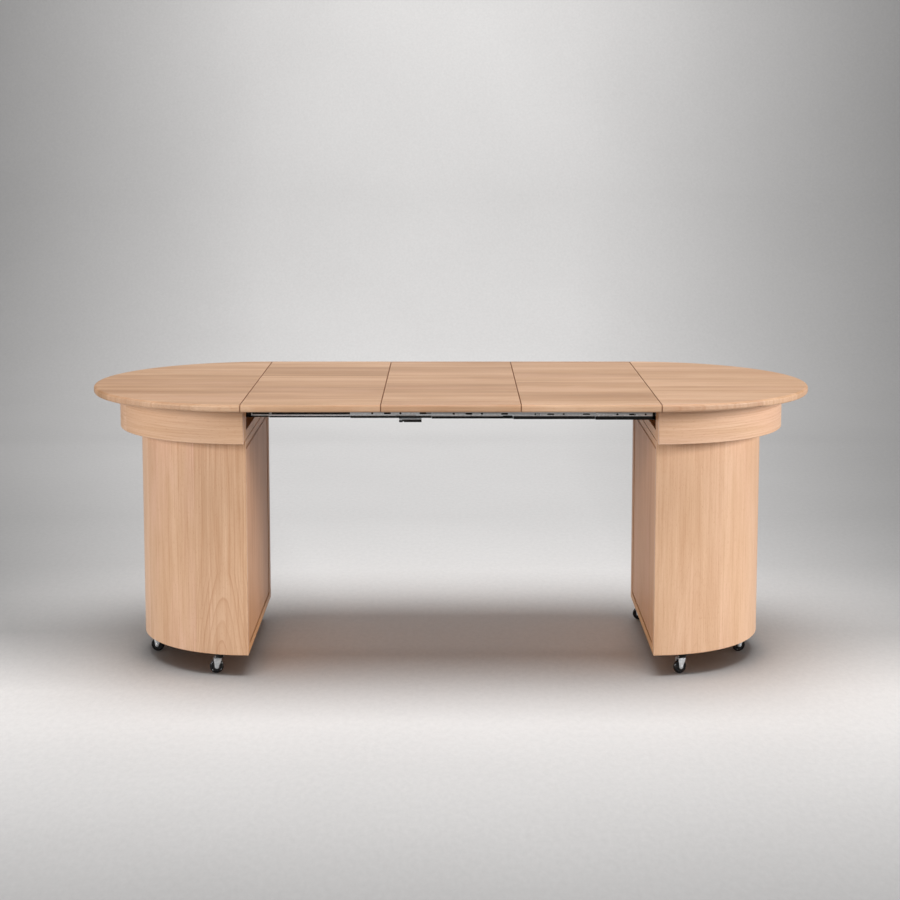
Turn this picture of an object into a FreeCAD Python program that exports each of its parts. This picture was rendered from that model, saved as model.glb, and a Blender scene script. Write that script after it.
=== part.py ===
"""Split-top extension table, drawn open with its three loose leaves in place.

Two half-round ends, each a table top on a curved apron and a curved pedestal with
four swivel casters, are joined by a front and a back stack of telescoping slides.

Frame: origin on the floor under the middle of the table, +X along its length,
-Y the front, +Z up. Millimetres. An end is drawn at u = 0 on its seam plane with u
growing outwards, then moved to its seam and, for the left end, mirrored.
"""
import FreeCAD, Part
import math
import os

from FreeCAD import Vector

# ---- driving dimensions -------------------------------------------------------

# Table top
closed_diameter = 915.0
leaf_count = 3
leaf_pitch = 366.6667
table_height = 770.0
top_thickness = 20.0
upper_edge_round = 7.0
lower_edge_round = 6.0
seam_gap = 1.0
seam_chamfer = 1.0

# Apron
top_overhang = 72.0
apron_height = 97.0
apron_wall = 20.0
end_block_thickness = 32.0
end_block_width = 61.0
apron_base_thickness = 12.0
apron_base_setback = 2.0
rail_room = 29.7
rail_thickness = 20.0
rail_setback = 2.0
shell_arris = 2.0

# Pedestal
apron_overhang = 59.0
pedestal_wall = 16.0
stile_face = 50.0
stile_thickness = 34.0
panel_thickness = 12.0
panel_setback = 2.0
panel_tongue = 7.0
panel_reveal = 4.5
panel_fit = 0.3
panel_arris = 2.0
top_board_thickness = 26.0
top_board_setback = 5.0
shadow_gap_height = 7.0
shadow_gap_depth = 10.0
bottom_board_thickness = 20.0

# Slides: member 1 is fixed to the left end, the last member to the right end
member_count = 6
member_length = 325.0
slide_height = 43.0
slide_pitch = 10.0
member_gap = 0.6
slide_sheet = 2.0
slide_lip = 7.8
t_fit = 0.6
slide_head_room = 0.3
slide_side_room = 3.0
hole_diameter = 6.0
slot_width = 5.0
slot_length = 19.0
hole_drop = 7.3
first_hole = 60.0
hole_spacing = 76.0
first_slot = 101.0
slot_spacing = 96.0

# Slide bearers and screws
bearer_width = 25.0
bearer_room = 6.0
screw_count = 3
screw_inset = 18.0
shank_diameter = 4.5
screw_head_diameter = 9.0
screw_head_height = 2.5
screw_bite = 12.0
screw_fit = 0.1
base_screw_count = 5
base_screw_inset = 69.0
base_screw_sweep = 140.0

# Leaf battens
batten_width = 60.0
batten_height = 18.0
batten_inset = 70.0
batten_room = 8.0

# Slide lock under the front slides
lock_plate_length = 61.0
lock_plate_width = 18.0
lock_plate_thickness = 1.5
lock_drop = 0.5
lock_start = 132.0
lock_lever_gap = 2.6
lock_lever_thickness = 3.7
lock_lever_width = 13.0
lock_ear_thickness = 2.0
lock_ear_length = 8.0
lock_side_room = 0.5
lock_pin_diameter = 2.0
lock_pin_fit = 0.05
lock_pin_inset = 5.0
lock_grip_length = 48.0
lock_grip_thickness = 2.0

# Casters
wheel_diameter = 38.0
wheel_width = 12.0
tread_depth = 5.0
tread_round = 3.0
dish_depth = 2.0
caster_trail = 8.0
crown_gap = 2.6
crown_thickness = 2.4
swivel_height = 16.0
swivel_diameter = 25.0
swivel_room = 0.4
plate_thickness = 3.0
plate_length = 42.0
plate_width = 36.0
plate_round = 6.0
kingpin_diameter = 8.0
kingpin_head = 12.0
kingpin_head_height = 1.6
axle_diameter = 6.0
axle_head_diameter = 9.0
axle_head_height = 1.5
running_fit = 0.05
fork_sheet = 2.0
fork_side_room = 1.0
fork_shoulder = 20.0
fork_tip = 10.0

# Where the kingpins stand: in from the pedestal's wall, out from the seam plane, and
# for the outer pair in degrees to either side of the table's middle line
caster_inset = 24.5
front_caster_out = 85.0
back_caster_out = 30.0
outer_caster_angle = 11.5

# Which way each caster trails, in degrees round from +X
caster_headings = {
    "left_front": 190.0,
    "left_back": 155.0,
    "left_outer_front": 170.0,
    "left_outer_back": 200.0,
    "right_front": 205.0,
    "right_back": 165.0,
    "right_outer_front": 195.0,
    "right_outer_back": 340.0,
}

# ---- derived places -----------------------------------------------------------

seam_x = leaf_count * leaf_pitch / 2
top_radius = closed_diameter / 2
top_underside = table_height - top_thickness
seam_setback = seam_gap / 2

apron_radius = top_radius - top_overhang
apron_inner_radius = apron_radius - apron_wall
apron_bottom = top_underside - apron_height
apron_base_top = apron_bottom + apron_base_thickness

wheel_radius = wheel_diameter / 2
crown_bottom = wheel_diameter + crown_gap
swivel_bottom = crown_bottom + crown_thickness
plate_bottom = swivel_bottom + swivel_height
pedestal_bottom = plate_bottom + plate_thickness
pedestal_radius = apron_radius - apron_overhang
pedestal_inner_radius = pedestal_radius - pedestal_wall
bottom_board_top = pedestal_bottom + bottom_board_thickness
top_board_bottom = apron_bottom - top_board_thickness
stile_inner_y = pedestal_radius - stile_face

slide_top = top_underside - slide_head_room
slide_bottom = slide_top - slide_height
slide_middle = (slide_top + slide_bottom) / 2
slide_travel = leaf_count * leaf_pitch / (member_count - 1)
member_depth = slide_pitch - member_gap
opening_half_width = apron_inner_radius - end_block_width
slide_outer_face = opening_half_width - slide_side_room
slide_inner_face = slide_outer_face - member_count * slide_pitch + member_gap
hole_height = slide_middle - hole_drop
rail_top = slide_bottom - rail_room
t_neck_height = slide_height - 2 * (slide_sheet + slide_lip + t_fit)
t_head_height = slide_height - 2 * (slide_sheet + t_fit)

bearer_start = end_block_thickness + bearer_room
bearer_outer_y = slide_outer_face + bearer_width
bearer_end = math.sqrt(apron_inner_radius**2 - bearer_outer_y**2) - bearer_room
base_screw_radius = pedestal_inner_radius - base_screw_inset

END_SIDES = {"left": -1, "right": 1}
ORIGIN = Vector(0, 0, 0)
X_AXIS = Vector(1, 0, 0)
Y_AXIS = Vector(0, 1, 0)
Z_AXIS = Vector(0, 0, 1)


# ---- shared shapes ------------------------------------------------------------

def box(x_low, x_high, y_low, y_high, z_low, z_high):
    """A box between two corners."""
    size = (x_high - x_low, y_high - y_low, z_high - z_low)
    return Part.makeBox(*size, Vector(x_low, y_low, z_low))


def half_disc(radius, z_low, z_high, setback=seam_setback):
    """A half-round board whose flat edge stands at u = setback."""
    half_chord = math.sqrt(radius**2 - setback**2)
    start = Vector(setback, -half_chord, z_low)
    end = Vector(setback, half_chord, z_low)
    arc = Part.Arc(start, Vector(radius, 0, z_low), end).toShape()
    face = Part.Face(Part.Wire([arc, Part.makeLine(end, start)]))
    return face.extrude(Vector(0, 0, z_high - z_low))


def half_shell(radius, wall, z_low, z_high):
    """A bent half-round wall with its outer lower and upright edges eased."""
    outside = half_disc(radius, z_low, z_high)
    edges = [edge for edge in outside.Edges
             if is_upright(edge) or (lies_at(edge, z_low) and is_round(edge))]
    outside = outside.makeFillet(min(shell_arris, 0.45 * wall), edges)
    inside = half_disc(radius - wall, z_low, z_high, 0)
    return outside.cut(inside)


def front_and_back(shape):
    """The shape on the back side, with its mirror image on the front side."""
    return Part.makeCompound([shape, shape.mirror(ORIGIN, Y_AXIS)])


def at_end(shape, side):
    """Moves a shape drawn in u to its end of the table."""
    moved = shape.copy()
    moved.translate(Vector(seam_x, 0, 0))
    if side < 0:
        moved = moved.mirror(ORIGIN, X_AXIS)
    return moved


def peg(x, y, z_low, z_high, diameter):
    """An upright round peg or hole."""
    return Part.makeCylinder(diameter / 2, z_high - z_low, Vector(x, y, z_low), Z_AXIS)


def round_long_edges(board, is_long_edge):
    """Rounds the long edges of a top board, more above than below."""
    for z, radius in ((table_height, upper_edge_round), (top_underside, lower_edge_round)):
        limit = min(radius, 0.45 * top_thickness)
        edges = [edge for edge in board.Edges if is_long_edge(edge, z)]
        board = board.makeFillet(limit, edges)
    return board


def lies_at(edge, z):
    """True for an edge that runs level at height z."""
    return abs(edge.BoundBox.ZMin - z) < 0.01 and abs(edge.BoundBox.ZMax - z) < 0.01


def is_upright(edge):
    """True for a straight edge that runs up and down."""
    return isinstance(edge.Curve, Part.Line) and edge.BoundBox.ZLength > 0.01


def is_round(edge):
    """True for an edge on a circle."""
    return isinstance(edge.Curve, Part.Circle)


def seam_groove(x):
    """The V that two chamfered board edges form at a seam."""
    reach = seam_chamfer + seam_setback
    outline = Part.makePolygon([
        Vector(x - reach, -top_radius, table_height),
        Vector(x + reach, -top_radius, table_height),
        Vector(x, -top_radius, table_height - reach),
        Vector(x - reach, -top_radius, table_height),
    ])
    return Part.Face(outline).extrude(Vector(0, 2 * top_radius, 0))


# ---- table top ----------------------------------------------------------------

def half_top(side):
    """Half-round top board with blind holes for the bearer screws."""
    board = half_disc(top_radius, top_underside, table_height)

    def is_rim(edge, z):
        return lies_at(edge, z) and is_round(edge)

    board = round_long_edges(board, is_rim).cut(seam_groove(0))
    for u, y in bearer_screw_places(side):
        board = board.cut(peg(u, y, top_underside, top_underside + screw_bite, screw_hole()))
    return at_end(board, side)


def leaf(index):
    """One loose leaf, counted from the left."""
    middle = (index - (leaf_count - 1) / 2) * leaf_pitch
    low = middle - leaf_pitch / 2
    high = middle + leaf_pitch / 2
    board = box(low + seam_setback, high - seam_setback, -top_radius, top_radius,
                top_underside, table_height)

    def is_front_or_back(edge, z):
        return lies_at(edge, z) and edge.BoundBox.YLength < 0.01

    board = round_long_edges(board, is_front_or_back)
    return board.cut(seam_groove(low)).cut(seam_groove(high))


def leaf_battens(index):
    """Two battens across a leaf's underside, which sit between the slides."""
    middle = (index - (leaf_count - 1) / 2) * leaf_pitch
    reach = slide_inner_face - batten_room
    offset = leaf_pitch / 2 - batten_inset
    battens = []
    for x in (middle - offset, middle + offset):
        battens.append(box(x - batten_width / 2, x + batten_width / 2, -reach, reach,
                           top_underside - batten_height, top_underside))
    return Part.makeCompound(battens)


# ---- apron --------------------------------------------------------------------

def apron_shell(side):
    """Bent outer wall of the apron."""
    return at_end(half_shell(apron_radius, apron_wall, apron_bottom, top_underside), side)


def apron_end_blocks(side):
    """Blocks at the apron's inner corners, on either side of the slide opening."""
    block = box(seam_setback, end_block_thickness, opening_half_width, apron_radius,
                apron_base_top, top_underside)
    inside = half_disc(apron_inner_radius, apron_base_top, top_underside, 0)
    return at_end(front_and_back(block.common(inside)), side)


def cross_rail(side):
    """Rail that ties the two end blocks below the slide opening."""
    rail = box(rail_setback, rail_setback + rail_thickness, -opening_half_width,
               opening_half_width, apron_base_top, rail_top)
    return at_end(rail, side)


def apron_base(side):
    """Board that closes the apron from below and seats on the pedestal."""
    board = half_disc(apron_inner_radius, apron_bottom, apron_base_top, apron_base_setback)
    for u, y in base_screw_places():
        board = board.cut(peg(u, y, apron_bottom, apron_base_top, screw_hole()))
    return at_end(board, side)


# ---- pedestal -----------------------------------------------------------------

def pedestal_shell(side):
    """Bent outer wall of the pedestal."""
    wall = half_shell(pedestal_radius, pedestal_wall, pedestal_bottom, apron_bottom)
    return at_end(wall, side)


def pedestal_stiles(side):
    """Uprights at the pedestal's inner corners, grooved for the panel."""
    stile = box(seam_setback, stile_thickness, stile_inner_y, pedestal_radius,
                bottom_board_top, top_board_bottom)
    inside = half_disc(pedestal_inner_radius, bottom_board_top, top_board_bottom, 0)
    groove = box(panel_setback - panel_fit, panel_setback + panel_thickness + panel_fit,
                 stile_inner_y, stile_inner_y + panel_tongue + panel_fit,
                 bottom_board_top, top_board_bottom)
    return at_end(front_and_back(stile.common(inside).cut(groove)), side)


def pedestal_panel(side):
    """Flat inner panel, held by its edges in the stiles' grooves, open only below."""
    reach = stile_inner_y + panel_tongue
    panel = box(panel_setback, panel_setback + panel_thickness, -reach, reach,
                bottom_board_top + panel_reveal, top_board_bottom)
    face_edges = [edge for edge in panel.Edges
                  if lies_at(edge, top_board_bottom) and edge.BoundBox.XMax < panel_setback + 0.01]
    return at_end(panel.makeChamfer(min(panel_arris, 0.45 * panel_thickness), face_edges), side)


def pedestal_top_board(side):
    """Board under the apron base, rebated for a shadow gap along its straight edge."""
    board = half_disc(pedestal_inner_radius, top_board_bottom, apron_bottom, top_board_setback)
    board = board.cut(box(0, top_board_setback + shadow_gap_depth, -pedestal_radius,
                          pedestal_radius, apron_bottom - shadow_gap_height, apron_bottom))
    for u, y in base_screw_places():
        board = board.cut(peg(u, y, apron_bottom - screw_bite, apron_bottom, screw_hole()))
    return at_end(board, side)


def pedestal_base(side):
    """Bottom board, which carries the casters."""
    return at_end(half_disc(pedestal_inner_radius, pedestal_bottom, bottom_board_top), side)


# ---- slide bearers and screws -------------------------------------------------

def screw_hole():
    """Diameter of a hole that clears a screw's shank."""
    return shank_diameter + 2 * screw_fit


def bearer_faces(side):
    """Inner and outer Y faces of a bearer, against the member that it carries."""
    if side < 0:
        return slide_inner_face - bearer_width, slide_inner_face
    return slide_outer_face, slide_outer_face + bearer_width


def bearer_screw_places(side):
    """Screw places (u, y) along both bearers of an end."""
    y = sum(bearer_faces(side)) / 2
    step = (bearer_end - bearer_start - 2 * screw_inset) / (screw_count - 1)
    runs = [bearer_start + screw_inset + step * count for count in range(screw_count)]
    return [(u, sign * y) for u in runs for sign in (-1, 1)]


def base_screw_places():
    """Screw places (u, y) that join the apron base to the pedestal."""
    step = base_screw_sweep / (base_screw_count - 1)
    angles = [math.radians(step * count - base_screw_sweep / 2)
              for count in range(base_screw_count)]
    return [(base_screw_radius * math.cos(a), base_screw_radius * math.sin(a))
            for a in angles]


def slide_bearers(side):
    """Hardwood blocks under the top that the end's slide members are fixed to."""
    inner, outer = bearer_faces(side)
    block = box(bearer_start, bearer_end, inner, outer,
                slide_bottom, top_underside)
    pair = front_and_back(block)
    for u, y in bearer_screw_places(side):
        pair = pair.cut(peg(u, y, slide_bottom, top_underside, screw_hole()))
    return at_end(pair, side)


def screws(side):
    """Bearer screws driven up into the top, and base screws driven down."""
    pieces = []
    for u, y in bearer_screw_places(side):
        head = peg(u, y, slide_bottom - screw_head_height, slide_bottom, screw_head_diameter)
        shank = peg(u, y, slide_bottom, top_underside + screw_bite, shank_diameter)
        pieces.append(head.fuse(shank))
    for u, y in base_screw_places():
        head = peg(u, y, apron_base_top, apron_base_top + screw_head_height,
                   screw_head_diameter)
        shank = peg(u, y, apron_bottom - screw_bite, apron_base_top, shank_diameter)
        pieces.append(head.fuse(shank))
    return at_end(Part.makeCompound(pieces), side)


# ---- telescoping slides -------------------------------------------------------

def member_span(number):
    """X range of a slide member, counted from the left end."""
    middle = -seam_x + (number - 1) * slide_travel
    return middle - member_length / 2, middle + member_length / 2


def channel(number, opens_outwards):
    """C channel with turned lips; w is the distance out from the table's middle."""
    low, high = member_span(number)
    inner = slide_inner_face + (number - 1) * slide_pitch
    outer = inner + member_depth
    block = box(low, high, inner, outer, slide_bottom, slide_top)
    hollow = (inner + slide_sheet, outer - slide_sheet)
    mouth = (inner + slide_sheet, outer) if opens_outwards else (inner, outer - slide_sheet)
    block = block.cut(box(low, high, *hollow, slide_bottom + slide_sheet,
                          slide_top - slide_sheet))
    lip_room = slide_sheet + slide_lip
    return block.cut(box(low, high, *mouth, slide_bottom + lip_room, slide_top - lip_room))


def t_rail(number, outwards):
    """T rail on one side of a member, which runs in its neighbour's channel."""
    low, high = member_span(number)
    inner = slide_inner_face + (number - 1) * slide_pitch
    outer = inner + member_depth
    neck = (slide_middle - t_neck_height / 2, slide_middle + t_neck_height / 2)
    head = (slide_middle - t_head_height / 2, slide_middle + t_head_height / 2)
    head_start = member_gap + slide_sheet + t_fit
    head_end = slide_pitch - slide_sheet - t_fit
    if outwards:
        root = outer - slide_sheet
        stem = box(low, high, root, outer + head_start, *neck)
        cap = box(low, high, outer + head_start, outer + head_end, *head)
    else:
        root = inner + slide_sheet
        stem = box(low, high, inner - head_start, root, *neck)
        cap = box(low, high, inner - head_end, inner - head_start, *head)
    return stem.fuse(cap)


def double_rail(number):
    """Flat bar with a T rail on both sides, between two channels."""
    low, high = member_span(number)
    inner = slide_inner_face + (number - 1) * slide_pitch
    bar = box(low, high, inner, inner + member_depth, slide_bottom, slide_top)
    return bar.fuse(t_rail(number, True)).fuse(t_rail(number, False))


def member_openings(number):
    """Punched holes and slots along a member."""
    low, _ = member_span(number)
    depth = slide_outer_face + slide_pitch
    cuts = []
    for count in range(2):
        x = low + first_hole + count * hole_spacing
        cuts.append(Part.makeCylinder(hole_diameter / 2, depth,
                                      Vector(x, 0, hole_height), Y_AXIS))
        x = low + first_slot + count * slot_spacing
        half = (slot_length - slot_width) / 2
        cuts.append(box(x - half, x + half, 0, depth,
                        hole_height - slot_width / 2, hole_height + slot_width / 2))
        for end in (x - half, x + half):
            cuts.append(Part.makeCylinder(slot_width / 2, depth,
                                          Vector(end, 0, hole_height), Y_AXIS))
    return cuts


def slide_member(number):
    """A member of the back stack, with its mirror image in the front stack.

    Members 1 and 2 are channels that open outwards, member 3 is the double rail
    between the two kinds, and the members from 4 on are channels that open inwards.
    """
    if number <= 2:
        member = channel(number, opens_outwards=True)
        if number > 1:
            member = member.fuse(t_rail(number, False))
    elif number == 3:
        member = double_rail(number)
    else:
        member = channel(number, opens_outwards=False)
        if number < member_count:
            member = member.fuse(t_rail(number, True))
    if number >= 3:
        for cut in member_openings(number):
            member = member.cut(cut)
    return front_and_back(member.removeSplitter())


# ---- slide lock ---------------------------------------------------------------

def lock_frame():
    """Low X end, outer Y face and top of the lock's plate, under slide member 3."""
    low, _ = member_span(3)
    inner = slide_inner_face + 2 * slide_pitch
    return low + lock_start, -inner, slide_bottom - lock_drop


def lock_lever_box():
    """X range, Y middle and Z range of the lock's lever."""
    low, y_inner, plate_top = lock_frame()
    y_middle = y_inner - lock_plate_width / 2
    top = plate_top - lock_plate_thickness - lock_lever_gap
    return low, low + lock_plate_length, y_middle, top - lock_lever_thickness, top


def lock_pin_place():
    """X and Z of the lever's pivot."""
    low, _, _, z_low, z_high = lock_lever_box()
    return low + lock_pin_inset, (z_low + z_high) / 2


def lock_bracket():
    """Plate hung under slide member 3, with two ears and the pivot pin."""
    low, y_inner, plate_top = lock_frame()
    high = low + lock_plate_length
    plate_bottom_z = plate_top - lock_plate_thickness
    plate = box(low, high, y_inner - lock_plate_width, y_inner, plate_bottom_z, plate_top)
    hanger = box(low, high, y_inner - member_depth, y_inner - member_gap,
                 plate_top, slide_bottom)
    _, _, y_middle, lever_bottom, _ = lock_lever_box()
    pin_x, pin_z = lock_pin_place()
    ear_inner = lock_lever_width / 2 + lock_side_room
    ear_outer = ear_inner + lock_ear_thickness
    bracket = plate.fuse(hanger)
    for sign in (-1, 1):
        faces = sorted((y_middle + sign * ear_inner, y_middle + sign * ear_outer))
        ear = box(pin_x - lock_ear_length / 2, pin_x + lock_ear_length / 2, *faces,
                  lever_bottom, plate_bottom_z)
        bracket = bracket.fuse(ear)
    pin = Part.makeCylinder(lock_pin_diameter / 2, 2 * ear_outer,
                            Vector(pin_x, y_middle - ear_outer, pin_z), Y_AXIS)
    return bracket.fuse(pin).removeSplitter()


def lock_lever():
    """Bar that tilts down at its free end."""
    low, high, y_middle, z_low, z_high = lock_lever_box()
    pin_x, pin_z = lock_pin_place()
    half = lock_lever_width / 2
    bar = box(pin_x - lock_lever_thickness, high, y_middle - half, y_middle + half,
              z_low, z_high)
    bore = Part.makeCylinder(lock_pin_diameter / 2 + lock_pin_fit, lock_lever_width,
                             Vector(pin_x, y_middle - half, pin_z), Y_AXIS)
    return bar.cut(bore)


def lock_grip():
    """Pad along the lever's underside."""
    _, high, y_middle, z_low, _ = lock_lever_box()
    half = lock_lever_width / 2
    return box(high - lock_grip_length, high, y_middle - half, y_middle + half,
               z_low - lock_grip_thickness, z_low)


# ---- casters ------------------------------------------------------------------

def caster_place(name):
    """World X and Y of a caster's kingpin."""
    end, corner = name.split("_", 1)
    if corner.startswith("outer"):
        angle = math.radians(outer_caster_angle)
        u = (pedestal_inner_radius - caster_inset) * math.cos(angle)
        y = (pedestal_inner_radius - caster_inset) * math.sin(angle)
    else:
        u = front_caster_out if corner == "front" else back_caster_out
        y = math.sqrt(pedestal_inner_radius**2 - u**2) - caster_inset
    return END_SIDES[end] * (seam_x + u), -y if corner.endswith("front") else y


def at_caster(shape, name):
    """Turns a shape drawn about the kingpin, trailing along +X, to its place."""
    placed = shape.copy()
    placed.rotate(ORIGIN, Z_AXIS, caster_headings[name])
    x, y = caster_place(name)
    placed.translate(Vector(x, y, 0))
    return placed


def caster_plate(x, y):
    """Mounting plate with its kingpin riveted over below the fork's crown."""
    plate = box(x - plate_length / 2, x + plate_length / 2, y - plate_width / 2,
                y + plate_width / 2, plate_bottom, pedestal_bottom)
    corners = [edge for edge in plate.Edges if edge.BoundBox.ZLength > plate_thickness / 2]
    plate = plate.makeFillet(min(plate_round, 0.45 * plate_width), corners)
    head_top = crown_bottom - swivel_room
    pin = peg(x, y, head_top - kingpin_head_height, plate_bottom, kingpin_diameter)
    head = peg(x, y, head_top - kingpin_head_height, head_top, kingpin_head)
    return plate.fuse(pin).fuse(head)


def caster_plates(end):
    """The plates of one end."""
    places = [caster_place(name) for name in caster_headings if name.startswith(end)]
    return Part.makeCompound([caster_plate(x, y) for x, y in places])


def fork_leg(y_low, y_high):
    """Tapered leg from the crown's shoulder down to a round tip at the axle."""
    tip = fork_tip / 2
    axle_z = wheel_radius
    left = -fork_shoulder / 2 + caster_trail / 2
    right = left + fork_shoulder
    outline = Part.makePolygon([
        Vector(left, y_low, swivel_bottom),
        Vector(right, y_low, swivel_bottom),
        Vector(caster_trail + tip, y_low, axle_z),
        Vector(caster_trail - tip, y_low, axle_z),
        Vector(left, y_low, swivel_bottom),
    ])
    blade = Part.Face(outline).extrude(Vector(0, y_high - y_low, 0))
    end = Part.makeCylinder(tip, y_high - y_low, Vector(caster_trail, y_low, axle_z), Y_AXIS)
    return blade.fuse(end)


def caster_fork(name):
    """Swivel cup, crown, two legs and the axle that turn about the kingpin."""
    leg_inner = wheel_width / 2 + fork_side_room
    leg_outer = leg_inner + fork_sheet
    left = -fork_shoulder / 2 + caster_trail / 2
    cup = peg(0, 0, crown_bottom, plate_bottom - swivel_room, swivel_diameter)
    crown = box(left, left + fork_shoulder, -leg_outer, leg_outer,
                crown_bottom, swivel_bottom)
    fork = cup.fuse(crown)
    fork = fork.cut(peg(0, 0, 0, plate_bottom, kingpin_diameter + 2 * running_fit))
    for faces in ((leg_inner, leg_outer), (-leg_outer, -leg_inner)):
        fork = fork.fuse(fork_leg(*faces))
    axle = Part.makeCylinder(axle_diameter / 2, 2 * leg_outer,
                             Vector(caster_trail, -leg_outer, wheel_radius), Y_AXIS)
    fork = fork.fuse(axle)
    for start in (-leg_outer - axle_head_height, leg_outer):
        fork = fork.fuse(Part.makeCylinder(axle_head_diameter / 2, axle_head_height,
                                           Vector(caster_trail, start, wheel_radius), Y_AXIS))
    return at_caster(fork.removeSplitter(), name)


def wheel_disc(radius, width):
    """A disc on the wheel's axis."""
    return Part.makeCylinder(radius, width,
                             Vector(caster_trail, -width / 2, wheel_radius), Y_AXIS)


def caster_wheel(name):
    """Moulded wheel with rounded shoulders, dished sides and a boss bored for the axle."""
    wheel = wheel_disc(wheel_radius, wheel_width)
    shoulders = [edge for edge in wheel.Edges if is_round(edge) and edge.Closed]
    wheel = wheel.makeFillet(min(tread_round, 0.45 * wheel_width), shoulders)
    dish = wheel_disc(wheel_radius - tread_depth, wheel_width)
    web = wheel_disc(wheel_radius - tread_depth, wheel_width - 2 * dish_depth)
    boss = wheel_disc(axle_diameter, wheel_width)
    wheel = wheel.cut(dish).fuse(web).fuse(boss)
    bore = wheel_disc(axle_diameter / 2 + running_fit, wheel_width)
    return at_caster(wheel.cut(bore).removeSplitter(), name)


# ---- the whole table ----------------------------------------------------------

def build():
    """Every node's name and shape."""
    nodes = {}
    end_pieces = (
        half_top, apron_shell, apron_end_blocks, cross_rail, apron_base, pedestal_shell,
        pedestal_stiles, pedestal_panel, pedestal_top_board, pedestal_base,
        slide_bearers, screws,
    )
    for end, side in END_SIDES.items():
        for piece in end_pieces:
            nodes[f"{end}_{piece.__name__}"] = piece(side)
        nodes[f"{end}_caster_plates"] = caster_plates(end)
    for index in range(leaf_count):
        nodes[f"leaf_{index + 1}"] = leaf(index)
        nodes[f"leaf_battens_{index + 1}"] = leaf_battens(index)
    for number in range(1, member_count + 1):
        nodes[f"slide_member_{number}"] = slide_member(number)
    for piece in (lock_bracket, lock_lever, lock_grip):
        nodes[piece.__name__] = piece()
    for name in caster_headings:
        nodes[f"{name}_fork"] = caster_fork(name)
        nodes[f"{name}_wheel"] = caster_wheel(name)
    return nodes


os.makedirs("parts", exist_ok=True)
for node, shape in build().items():
    shape.exportStep(f"parts/{node}.step")
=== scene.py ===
"""The extension table's looks: beech boards, zinc-plated slides, casters and a studio."""
import math
import random
from collections import namedtuple

import bmesh
import bpy
from mathutils import Matrix, Vector


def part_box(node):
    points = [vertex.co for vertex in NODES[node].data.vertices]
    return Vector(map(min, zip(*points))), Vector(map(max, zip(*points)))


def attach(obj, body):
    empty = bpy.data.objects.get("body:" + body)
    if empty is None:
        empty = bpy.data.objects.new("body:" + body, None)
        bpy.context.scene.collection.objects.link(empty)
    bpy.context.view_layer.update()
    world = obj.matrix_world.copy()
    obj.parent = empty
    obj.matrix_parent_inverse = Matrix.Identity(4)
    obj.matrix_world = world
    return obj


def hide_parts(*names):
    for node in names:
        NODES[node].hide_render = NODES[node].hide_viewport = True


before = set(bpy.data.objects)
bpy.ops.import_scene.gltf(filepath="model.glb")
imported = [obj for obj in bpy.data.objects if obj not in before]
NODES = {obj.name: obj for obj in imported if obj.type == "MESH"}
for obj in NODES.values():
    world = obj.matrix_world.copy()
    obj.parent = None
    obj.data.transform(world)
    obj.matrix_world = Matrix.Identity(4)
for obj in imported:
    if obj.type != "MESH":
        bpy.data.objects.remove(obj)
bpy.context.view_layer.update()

ENDS = {"left": -1, "right": 1}
CORNERS = ("front", "back", "outer_front", "outer_back")

LEAF_LOW, LEAF_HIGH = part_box("leaf_1")
SEAM_X = (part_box("leaf_3")[1].x - LEAF_LOW.x) / 2
TOP_Z = LEAF_HIGH.z
TOP_RADIUS = LEAF_HIGH.y
PEDESTAL_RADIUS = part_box("right_pedestal_shell")[1].y


# ---- node graph helpers ---------------------------------------------------------

BUMP_STRENGTH = 0.1


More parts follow.
